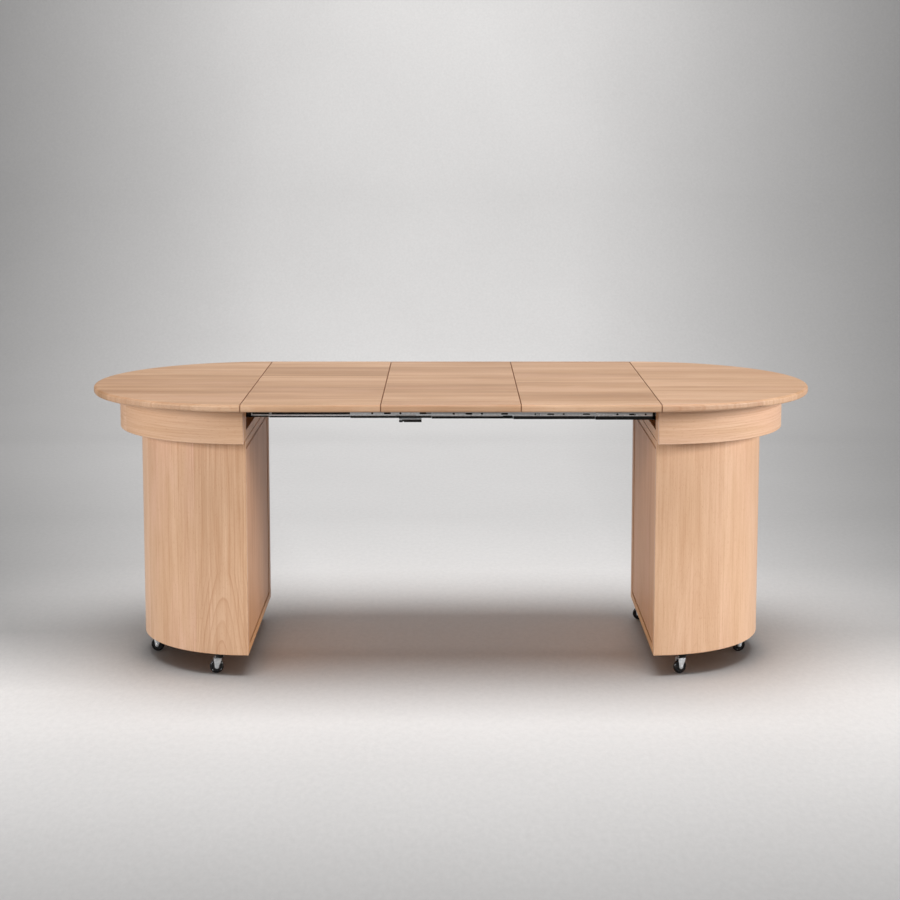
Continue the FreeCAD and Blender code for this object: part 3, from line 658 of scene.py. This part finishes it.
# For each member: the top of its black strip, a painted shadow along its lower edge; its black
# marks, among them painted shadow where it runs into the apron's bay and at the end post, and its
# flat zinc covers as (x, x, z, z); its rivets as (x, z, radius); the heights of its bead; and the
# rubber plugs in its holes as (distance from the member's end, half length).
SLIDE_FITTINGS = {
    # Member 1's second mark, in the apron's bay, and member 6's first mark, at the end post, are
    # painted shadow.
    1: dict(strip_top=0.7105, bead=(0.7112, 0.7136),
            marks=((-0.5391, -0.4900, 0.7142, 0.7190), (-0.7000, -0.5420, 0.7072, 0.7200)),
            covers=(), rivets=((-0.5200, 0.7125, 0.0012),), plugs=()),
    2: dict(strip_top=0.7108, bead=(0.7112, 0.7142),
            marks=((-0.4850, -0.2730, 0.7152, 0.7164),), covers=(),
            rivets=((-0.4944, 0.7128, 0.0022), (-0.2860, 0.7128, 0.0016)), plugs=()),
    3: dict(strip_top=0.7138, bead=(0.7140, 0.7152),
            marks=((-0.0700, -0.0530, 0.7198, 0.7222), (-0.2690, -0.1900, 0.7244, 0.7256),
                   (-0.1520, -0.0930, 0.7150, 0.7158)),
            covers=((-0.1500, -0.0945, 0.7164, 0.7178),),
            rivets=((-0.2400, 0.7165, 0.0014), (-0.1080, 0.7205, 0.0016)),
            plugs=((0.060, 0.0030), (0.101, 0.0095), (0.136, 0.0030), (0.197, 0.0095))),
    4: dict(strip_top=0.7146, bead=(0.7150, 0.7162),
            marks=((0.1400, 0.1655, 0.7136, 0.7160), (-0.0480, 0.1350, 0.7228, 0.7236)),
            covers=((-0.0380, 0.1300, 0.7172, 0.7184),),
            rivets=((0.0137, 0.7178, 0.0026), (0.0197, 0.7178, 0.0026)),
            plugs=((0.197, 0.0095),)),
    5: dict(strip_top=0.7162, bead=(0.7164, 0.7176),
            marks=((0.2330, 0.2343, 0.7170, 0.7240), (0.2371, 0.2384, 0.7170, 0.7240)),
            covers=((0.1700, 0.2300, 0.7184, 0.7196), (0.2420, 0.3840, 0.7184, 0.7196)),
            rivets=((0.2357, 0.7205, 0.0020), (0.1780, 0.7215, 0.0016)),
            plugs=((0.101, 0.0095), (0.197, 0.0095))),
    6: dict(strip_top=0.7164, bead=(0.7166, 0.7190),
            marks=((0.5420, 0.5500, 0.7085, 0.7300), (0.3890, 0.5410, 0.7250, 0.7258)),
            covers=((0.3890, 0.3990, 0.7190, 0.7250), (0.4020, 0.4100, 0.7196, 0.7240)),
            rivets=((0.4150, 0.7218, 0.0018), (0.4950, 0.7218, 0.0016)),
            plugs=((0.060, 0.0030),)),
}
SLIDE_LOW_Z, SLIDE_HIGH_Z = (corner.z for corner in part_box("slide_member_3"))
OUTERMOST_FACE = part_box("slide_member_6")[0].y


def add_cage(whole, y, low, high, depth):
    """The ball cage, which lies flat against the web inside the channel. It is black: partly a
    real cage, partly painted shade inside the channel.
    """
    face_strip(whole, y, low + CAGE_INSET, high - CAGE_INSET, SLIDE_LOW_Z + CAGE_EDGE,
               SLIDE_HIGH_Z - CAGE_EDGE, depth)


def add_slide_fittings(number, strip_top, bead, marks, covers, rivets, plugs):
    """The black and the bright fittings on both members of one number; much of the black is
    painted shadow.
    """
    web_y = OUTERMOST_FACE + (OUTERMOST_MEMBER - number) * MEMBER_PITCH
    low, high = (corner.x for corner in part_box(f"slide_member_{number}"))
    strip_ends = (low + STRIP_INSET, high - STRIP_INSET)
    black = bmesh.new()
    face_y, strip_low = web_y, SLIDE_LOW_Z + STRIP_RISE
    # Painted shadow: a black strip along the member's lower edge, and under the cap where there is
    # one.
    if number in CAPPED_MEMBERS:
        face_strip(black, web_y, *strip_ends, strip_low, CAP_LOW_Z - CAP_GAP)
        face_y, strip_low = web_y - CAP_REACH, CAP_LOW_Z
    face_strip(black, face_y, *strip_ends, strip_low, strip_top)
    for mark in marks:
        face_strip(black, face_y, *mark)
    for along, half in plugs:
        prism(black, rounded(2 * half, 2 * HOLE_RADIUS, HOLE_RADIUS * PLUG_ROUND), PLUG_SINK,
              on_front(low + along, face_y + 2 * PLUG_SINK, HOLE_Z))
    # Painted shade: the black cage darkens member 2's open channel.
    if number == 2:
        add_cage(black, web_y + MEMBER_PITCH - MEMBER_GAP - MEMBER_SHEET, low, high,
                 OPEN_CAGE_SHEET)
    elif number > 3:
        add_cage(black, web_y + MEMBER_SHEET + CAGE_SHEET, low, high, CAGE_SHEET)
    mirrored(black)
    add_piece(f"slide_{number}_painted_shade_strips", black, MEMBER_BODIES[number], "lock_black",
              BLACK_PAINT)

    bright = bmesh.new()
    for cover in covers:
        face_strip(bright, face_y, *cover, COVER_DEPTH)
    for x, z, radius in rivets:
        rivet(bright, face_y, x, z, radius)
    # The bead is in the brighter zinc: a painted highlight along the rolled edge, besides the
    # light its shape catches.
    bead_z, half_height = sum(bead) / 2, (bead[1] - bead[0]) / 2
    rolled = []
    for step in range(BEAD_STEPS + 1):
        angle = math.pi * step / BEAD_STEPS
        rolled.append((-half_height * math.cos(angle), STRIP_DEPTH * math.sin(angle)))
    along_member = Matrix(((0, 0, 1, low + BEAD_INSET), (0, -1, 0, face_y),
                           (1, 0, 0, bead_z), (0, 0, 0, 1)))
    prism(bright, rolled, high - low - 2 * BEAD_INSET, along_member)
    mirrored(bright)
    add_piece(f"slide_{number}_rivets", bright, MEMBER_BODIES[number], "slide_steel",
              BRIGHT_ZINC)


for number, fittings in SLIDE_FITTINGS.items():
    add_slide_fittings(number, **fittings)


# ---- casters --------------------------------------------------------------------

TRAIL, AXLE_Z, AXLE_RADIUS = 0.008, 0.019, 0.003
CROWN_LOW, CROWN_HIGH = 0.0406, 0.0430
CROWN_LENGTH, CROWN_ROUND, CROWN_MIDDLE = 0.0217, 0.004, 0.0054
LEG_INNER, LEG_OUTER = 0.007, 0.009
LEG_BACK, LEG_BACK_LOW, LEG_FRONT = -0.0055, -0.0048, 0.0162
LEG_TOP_GAP, LEG_NARROWS_Z, LEG_TIP = 0.0003, 0.0365, 0.0060
# The tip is an arc that starts and turns this many degrees.
TIP_START, TIP_TURN, TIP_STEPS = 12, 210, 12
RIB_INSET, RIB_LOW_Z, RIB_THICKNESS, RIB_PROUD = 0.0034, 0.0262, 0.0010, 0.0004
PRESSED_EDGE, RIB_EDGE, NUT_EDGE = 0.0006, 0.0003, 0.0002
WASHER_HEIGHT, NUT_RADIUS, NUT_HEIGHT = 0.0007, 0.0042, 0.0008
BOLT_SPREAD, BOLT_RISE = 0.0112, 0.0020
PLATE_LOW_Z, PLATE_SCREW_X, PLATE_SCREW_Y = 0.059, 0.0158, 0.0128
# Which way each wheel lies from its kingpin, in degrees.
HEADINGS = {
    "left_front": 190, "left_back": 155, "left_outer_front": 170, "left_outer_back": 200,
    "right_front": 205, "right_back": 165, "right_outer_front": 195, "right_outer_back": 340,
}
ON_AXLE = Matrix.Translation((TRAIL, 0, AXLE_Z)) @ Matrix.Rotation(math.pi / 2, 4, "X")

# Closed (radius, height) profiles.
CROWN_BOLT = [(0, 0), (0.0014, 0), (0.0014, 0.0024), (0.0009, 0.0030), (0, 0.0031)]
WASHER = [(0.003, 0), (0.0046, 0), (0.0046, 0.0007), (0.003, 0.0007)]
AXLE_HEAD = [(0, 0.0007), (0.0040, 0.0007), (0.0036, 0.0013), (0.0016, 0.0015), (0, 0.0012)]
AXLE_SHAFT = [(0, -LEG_OUTER), (AXLE_RADIUS, -LEG_OUTER), (AXLE_RADIUS, LEG_OUTER),
              (0, LEG_OUTER)]
RACE = [(0.0045, 0.0430), (0.0100, 0.0430), (0.0106, 0.0440), (0.0100, 0.0450),
        (0.0100, 0.0480), (0.0116, 0.0488), (0.0125, 0.0500), (0.0125, 0.0530),
        (0.0119, 0.0540), (0.0108, 0.0544), (0.0108, 0.0556), (0.0119, 0.0562),
        (0.0122, 0.0586), (0.0045, 0.0586)]
HALF_WHEEL = [(0.00305, 0.0060), (0.0056, 0.0060), (0.0060, 0.0056), (0.0064, 0.0042),
              (0.0094, 0.0040), (0.0098, 0.0045), (0.0104, 0.0045), (0.0108, 0.0040),
              (0.0133, 0.0041), (0.0141, 0.0056), (0.0147, 0.0060), (0.0163, 0.0058),
              (0.0177, 0.0048), (0.0186, 0.0030), (0.0190, 0.0008)]
SCREW_HEAD = [(0, 0.0010), (0.0012, 0.0010), (0.0014, 0.0021), (0.0028, 0.0017),
              (0.0035, 0.0008), (0.0036, 0.0), (0, 0.0)]


def leg_outline(inset=0.0):
    """Teardrop outline of a fork leg, from the crown down round the axle, (x, height)."""
    tip, top = LEG_TIP - inset, CROWN_HIGH - LEG_TOP_GAP - inset
    points = [(LEG_BACK + inset, top), (LEG_FRONT - inset, top),
              (LEG_FRONT - inset, LEG_NARROWS_Z)]
    for step in range(TIP_STEPS + 1):
        angle = math.radians(TIP_START - TIP_TURN * step / TIP_STEPS)
        points.append((TRAIL + tip * math.cos(angle), AXLE_Z + tip * math.sin(angle)))
    points.append((LEG_BACK_LOW + inset, LEG_NARROWS_Z))
    return points


def caster_metal():
    """Pressed fork with ribbed legs, axle bolt, washers and nut."""
    whole = bmesh.new()
    prism(whole, rounded(CROWN_LENGTH, 2 * LEG_OUTER, CROWN_ROUND), CROWN_HIGH - CROWN_LOW,
          Matrix.Translation((CROWN_MIDDLE, 0, CROWN_LOW)), PRESSED_EDGE)
    for x in (-BOLT_SPREAD, BOLT_SPREAD):
        lathe(whole, CROWN_BOLT, Matrix.Translation((x, 0, CROWN_HIGH + BOLT_RISE)),
              segments=16)
    for side in (-1, 1):
        front_face = -LEG_INNER if side < 0 else LEG_OUTER
        prism(whole, leg_outline(), LEG_OUTER - LEG_INNER, on_front(0, front_face, 0),
              PRESSED_EDGE)
        # The pressed rib stands proud of the leg's outer face.
        rib_face = (RIB_THICKNESS if side < 0 else 0) + side * (LEG_OUTER + RIB_PROUD)
        ribbed = [(x, z) for x, z in leg_outline(RIB_INSET) if z > RIB_LOW_Z]
        prism(whole, ribbed, RIB_THICKNESS, on_front(0, rib_face, 0), RIB_EDGE)
    for side in (-1, 1):
        turn = Matrix.Rotation(math.radians(90 * side), 4, "X")
        at = Matrix.Translation((TRAIL, -side * LEG_OUTER, AXLE_Z)) @ turn
        lathe(whole, WASHER, at, segments=24)
        if side == 1:
            lathe(whole, AXLE_HEAD, at, segments=24)
        else:
            hexagon = [(NUT_RADIUS * math.cos(math.pi / 3 * k),
                        NUT_RADIUS * math.sin(math.pi / 3 * k)) for k in range(6)]
            prism(whole, hexagon, NUT_HEIGHT,
                  at @ Matrix.Translation((0, 0, WASHER_HEIGHT)), NUT_EDGE)
    lathe(whole, AXLE_SHAFT, ON_AXLE)
    return whole


def caster_race():
    """Black swivel cup with its ball race groove and dust lip."""
    whole = bmesh.new()
    lathe(whole, RACE, segments=40)
    return whole


def caster_wheel():
    """Moulded wheel: crowned tread, raised rim ring, dished disc and axle boss."""
    whole = bmesh.new()
    lathe(whole, HALF_WHEEL + [(r, -h) for r, h in reversed(HALF_WHEEL)], ON_AXLE, segments=64)
    return whole


def kingpin_place(caster):
    """World X and Y of a caster's kingpin, which stands off its wheel's middle."""
    low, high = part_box(f"{caster}_wheel")
    heading = math.radians(HEADINGS[caster])
    return ((low.x + high.x) / 2 - TRAIL * math.cos(heading),
            (low.y + high.y) / 2 - TRAIL * math.sin(heading))


for end in ENDS:
    screws = bmesh.new()
    for corner in CORNERS:
        caster = f"{end}_{corner}"
        x, y = kingpin_place(caster)
        place = Matrix.Translation((x, y, 0)) @ Matrix.Rotation(
            math.radians(HEADINGS[caster]), 4, "Z")
        metal, race, wheel = caster_metal(), caster_race(), caster_wheel()
        for whole in (metal, race, wheel):
            whole.transform(place)
        add_piece(f"{caster}_fork_dress", metal, f"{caster}_swivel", "caster_zinc",
                  FORK_ZINC, f"{caster}_fork")
        add_piece(f"{caster}_race", race, f"{caster}_swivel", "lock_black", BLACK_PAINT)
        add_piece(f"{caster}_tread", wheel, f"{caster}_wheel", "wheel_nylon", NYLON,
                  f"{caster}_wheel")
        for across in (-PLATE_SCREW_X, PLATE_SCREW_X):
            for deep in (-PLATE_SCREW_Y, PLATE_SCREW_Y):
                lathe(screws, SCREW_HEAD, upside_down(x + across, y + deep, PLATE_LOW_Z))
    add_piece(f"{end}_plate_screws", screws, f"{end}_end", "caster_plate_steel", BRIGHT_ZINC)


# ---- lock and leaf fittings -----------------------------------------------------

EAR_COVER_LENGTH, EAR_COVER_INSET, EAR_COVER_RISE = 0.0105, 0.0002, 0.0001
LOCK_LEVER_GAP, FAR_RIVET_INSET, NEAR_RIVET_INSET = 0.0026, 0.016, 0.010
LOCK_RIVET = [(0, 0), (0.0026, 0), (0.0024, 0.0006), (0.0012, 0.0010), (0, 0.0011)]
BATTEN_SCREW_INSET, BATTEN_SCREW_PLACES = 0.03, (-0.19, -0.065, 0.065, 0.19)

bracket_low, bracket_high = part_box("lock_bracket")
lever_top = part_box("lock_lever")[1].z
ear = bmesh.new()
face_strip(ear, bracket_low.y, bracket_low.x + EAR_COVER_INSET,
           bracket_low.x + EAR_COVER_LENGTH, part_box("lock_grip")[0].z + EAR_COVER_INSET,
           lever_top + EAR_COVER_RISE)
add_piece("lock_ear_cover", ear, "slide_3", "lock_black", BLACK_PAINT)
rivets = bmesh.new()
for x in (bracket_low.x + FAR_RIVET_INSET, bracket_high.x - NEAR_RIVET_INSET):
    lathe(rivets, LOCK_RIVET, upside_down(x, (bracket_low.y + bracket_high.y) / 2,
                                          lever_top + LOCK_LEVER_GAP))
add_piece("lock_rivets", rivets, "slide_3", "lock_steel", BRIGHT_ZINC)

for index in (1, 2, 3):
    low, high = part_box(f"leaf_battens_{index}")
    heads = bmesh.new()
    for x in (low.x + BATTEN_SCREW_INSET, high.x - BATTEN_SCREW_INSET):
        for y in BATTEN_SCREW_PLACES:
            lathe(heads, SCREW_HEAD, upside_down(x, y, low.z))
    add_piece(f"leaf_{index}_screws", heads, f"leaf_{index}", "screw_steel", SLIDE_ZINC)


# ---- studio ---------------------------------------------------------------------

PAPER_FRONT, PAPER_BACK, PAPER_HEIGHT = -30.0, 7.6, 9.0
PAPER_SWEEP, SWEEP_STEPS, PAPER_HALF_WIDTH = 3.0, 24, 40.0
# Painted light and shade on the paper: its brightness by how far back and up it lies, in tens of
# metres, how much painted shade darkens it to its sides there, and how painted shade darkens it
# towards the front.
PAINTED_PAPER_LIGHT = ((0.06, 1.0), (0.10, 0.87), (0.18, 0.82), (0.34, 0.96), (0.60, 0.80),
              (0.72, 0.76), (0.79, 0.735), (0.88, 0.78), (0.97, 0.82))
PAINTED_SIDE_SHADE = ((0.08, 0.52), (0.28, 0.44), (0.60, 0.37), (0.80, 0.31))
PAINTED_FRONT_SHADE = ((0.30, 0.0), (0.46, 0.30), (0.76, 1.0))
FRONT_SHARE = 0.4
PAPER_DARK, PAPER_PALE = (0.82, 0.805, 0.795), (0.85, 0.835, 0.825)
MOTTLE_SCALE, PAPER_GRAIN_SCALE, DARKEST_GRAIN = 1.2, 70.0, 0.93
# A painted pool of light in the middle widens by this share of each metre back, and starts
# LIT_POOL_RIGHT to the right and goes LIT_POOL_DRIFT to the left for each metre back, as far as
# LIT_POOL_LEFT.
LIT_POOL_WIDENS, LIT_POOL_DRIFT, LIT_POOL_RIGHT, LIT_POOL_LEFT = 0.19, 0.12, 0.17, 0.20
WORLD_COLOUR, WORLD_STRENGTH = (0.95, 0.97, 1.0, 1), 0.205


def paper_material():
    """Matt paper with a soft mottle and grain, and painted light and shade by place: a painted
    pool of light in the middle, painted shade to its sides and towards the front.
    """
    shader = Shader("studio_paper")
    plus, minus, times = shader.plus, shader.minus, shader.times
    x, y, z = shader.position()
    mottle = shader.noise(shader.vector(x, y, z), 3.0, scale=MOTTLE_SCALE)
    colour = shader.ramp(mottle, (0.3, PAPER_DARK), (0.7, PAPER_PALE))
    grain = shader.noise(shader.vector(x, times(y, 0.5), z), 3.0, 0.7,
                         scale=PAPER_GRAIN_SCALE)
    colour = shader.mix(1.0, colour, shader.ramp(grain, (0.3, DARKEST_GRAIN), (0.7, 1.0)),
                        "MULTIPLY")
    # Painted light and shade: a pool of light in the middle, shade to the sides behind the table
    # and towards the front, and a brightness by place.
    far = plus(y, z)
    spread = plus(1.0, times(y, LIT_POOL_WIDENS))
    aside = plus(x, shader.math("MINIMUM", minus(times(far, LIT_POOL_DRIFT), LIT_POOL_RIGHT),
                                LIT_POOL_LEFT))
    sideways = shader.over(shader.math("ABSOLUTE", aside), spread)
    side_shade_mask = shader.ramp(times(sideways, 0.5), (0.22, 0.0), (0.70, 1.0))
    behind = shader.ramp(plus(y, 0.5), (0.05, 0.0), (0.65, 1.0))
    front_shade_mask = shader.ramp(times(y, -0.4), *PAINTED_FRONT_SHADE)
    reach = times(far, 0.1)
    side_share = shader.ramp(reach, *PAINTED_SIDE_SHADE)
    shade = minus(1.0, times(times(side_shade_mask, behind), side_share))
    shade = times(shade, minus(1.0, times(front_shade_mask, FRONT_SHARE)))
    shade = times(shade, shader.ramp(reach, *PAINTED_PAPER_LIGHT))
    return shader.finish(shader.mix(1.0, colour, shade, "MULTIPLY"), 0.8)


def studio_floor():
    """Pale paper that sweeps up into the backdrop."""
    outline = [(PAPER_FRONT, 0.0)]
    for step in range(SWEEP_STEPS + 1):
        turn = math.pi / 2 * step / SWEEP_STEPS
        outline.append((PAPER_BACK - PAPER_SWEEP + PAPER_SWEEP * math.sin(turn),
                        PAPER_SWEEP - PAPER_SWEEP * math.cos(turn)))
    outline.append((PAPER_BACK, PAPER_HEIGHT))
    vertices = [(x, y, z) for x in (-PAPER_HALF_WIDTH, PAPER_HALF_WIDTH) for y, z in outline]
    count = len(outline)
    faces = [(i, i + 1, count + i + 1, count + i) for i in range(count - 1)]
    mesh = bpy.data.meshes.new("studio_floor")
    mesh.from_pydata(vertices, [], faces)
    for face in mesh.polygons:
        face.use_smooth = True
    mesh.materials.append(paper_material())
    floor = bpy.data.objects.new("studio_floor", mesh)
    bpy.context.scene.collection.objects.link(floor)
    return floor


def softbox(name, place, target, size, power, spread=180.0, unlit=None):
    """An area light aimed at a point, which leaves one object unlit."""
    light = bpy.data.lights.new(name, "AREA")
    light.shape = "RECTANGLE"
    light.size, light.size_y = size
    light.energy = power
    light.spread = math.radians(spread)
    lamp = bpy.data.objects.new(name, light)
    lamp.location = place
    aim = Vector(target) - Vector(place)
    lamp.rotation_euler = aim.to_track_quat("-Z", "Y").to_euler()
    bpy.context.scene.collection.objects.link(lamp)
    if unlit is not None:
        flagged = bpy.data.collections.new(f"{name}_flagged")
        flagged.objects.link(unlit)
        lamp.light_linking.receiver_collection = flagged
        for item in flagged.collection_objects:
            item.light_linking.link_state = "EXCLUDE"


def studio():
    """Floor, world and lights. The two lights that model the wood don't light the floor."""
    floor = studio_floor()
    world = bpy.data.worlds.new("studio_world")
    world.use_nodes = True
    background = world.node_tree.nodes["Background"]
    background.inputs["Color"].default_value = WORLD_COLOUR
    background.inputs["Strength"].default_value = WORLD_STRENGTH
    bpy.context.scene.world = world
    softbox("key_right", (5.3, -2.4, 2.2), (0.6, -0.2, 0.5), (1.8, 1.6), 338, unlit=floor)
    softbox("fill_left", (-4.4, -3.6, 1.9), (-0.6, -0.2, 0.5), (1.8, 1.6), 215, unlit=floor)
    softbox("overhead", (0, -0.75, 6.2), (0, -0.1, 0), (4.4, 4.4), 176, spread=120.0)
    softbox("backdrop_glow", (0, 3.6, 3.8), (0, 7.6, 3.8), (2.0, 1.4), 146)
    softbox("rear_overhead", (0, 4.4, 5.5), (0, 4.0, 0), (3.0, 2.0), 34, spread=120.0)
    bpy.context.scene.view_settings.view_transform = "Standard"


def camera():
    """The photograph's view: a long lens a little above the table, with a small shift."""
    focal_pixels, frame_pixels, horizon_offset = 1882.0, 900.0, 100.0
    eye_place, tilt_down = (-0.0025, -5.304, 1.4927), 0.1188
    view = bpy.data.cameras.new("camera")
    view.sensor_width = 36.0
    view.lens = focal_pixels / frame_pixels * view.sensor_width
    view.shift_y = -horizon_offset / frame_pixels
    eye = bpy.data.objects.new("camera", view)
    eye.location = eye_place
    eye.rotation_euler = (math.pi / 2 - tilt_down, 0, 0)
    bpy.context.scene.collection.objects.link(eye)
    bpy.context.scene.camera = eye


studio()
camera()
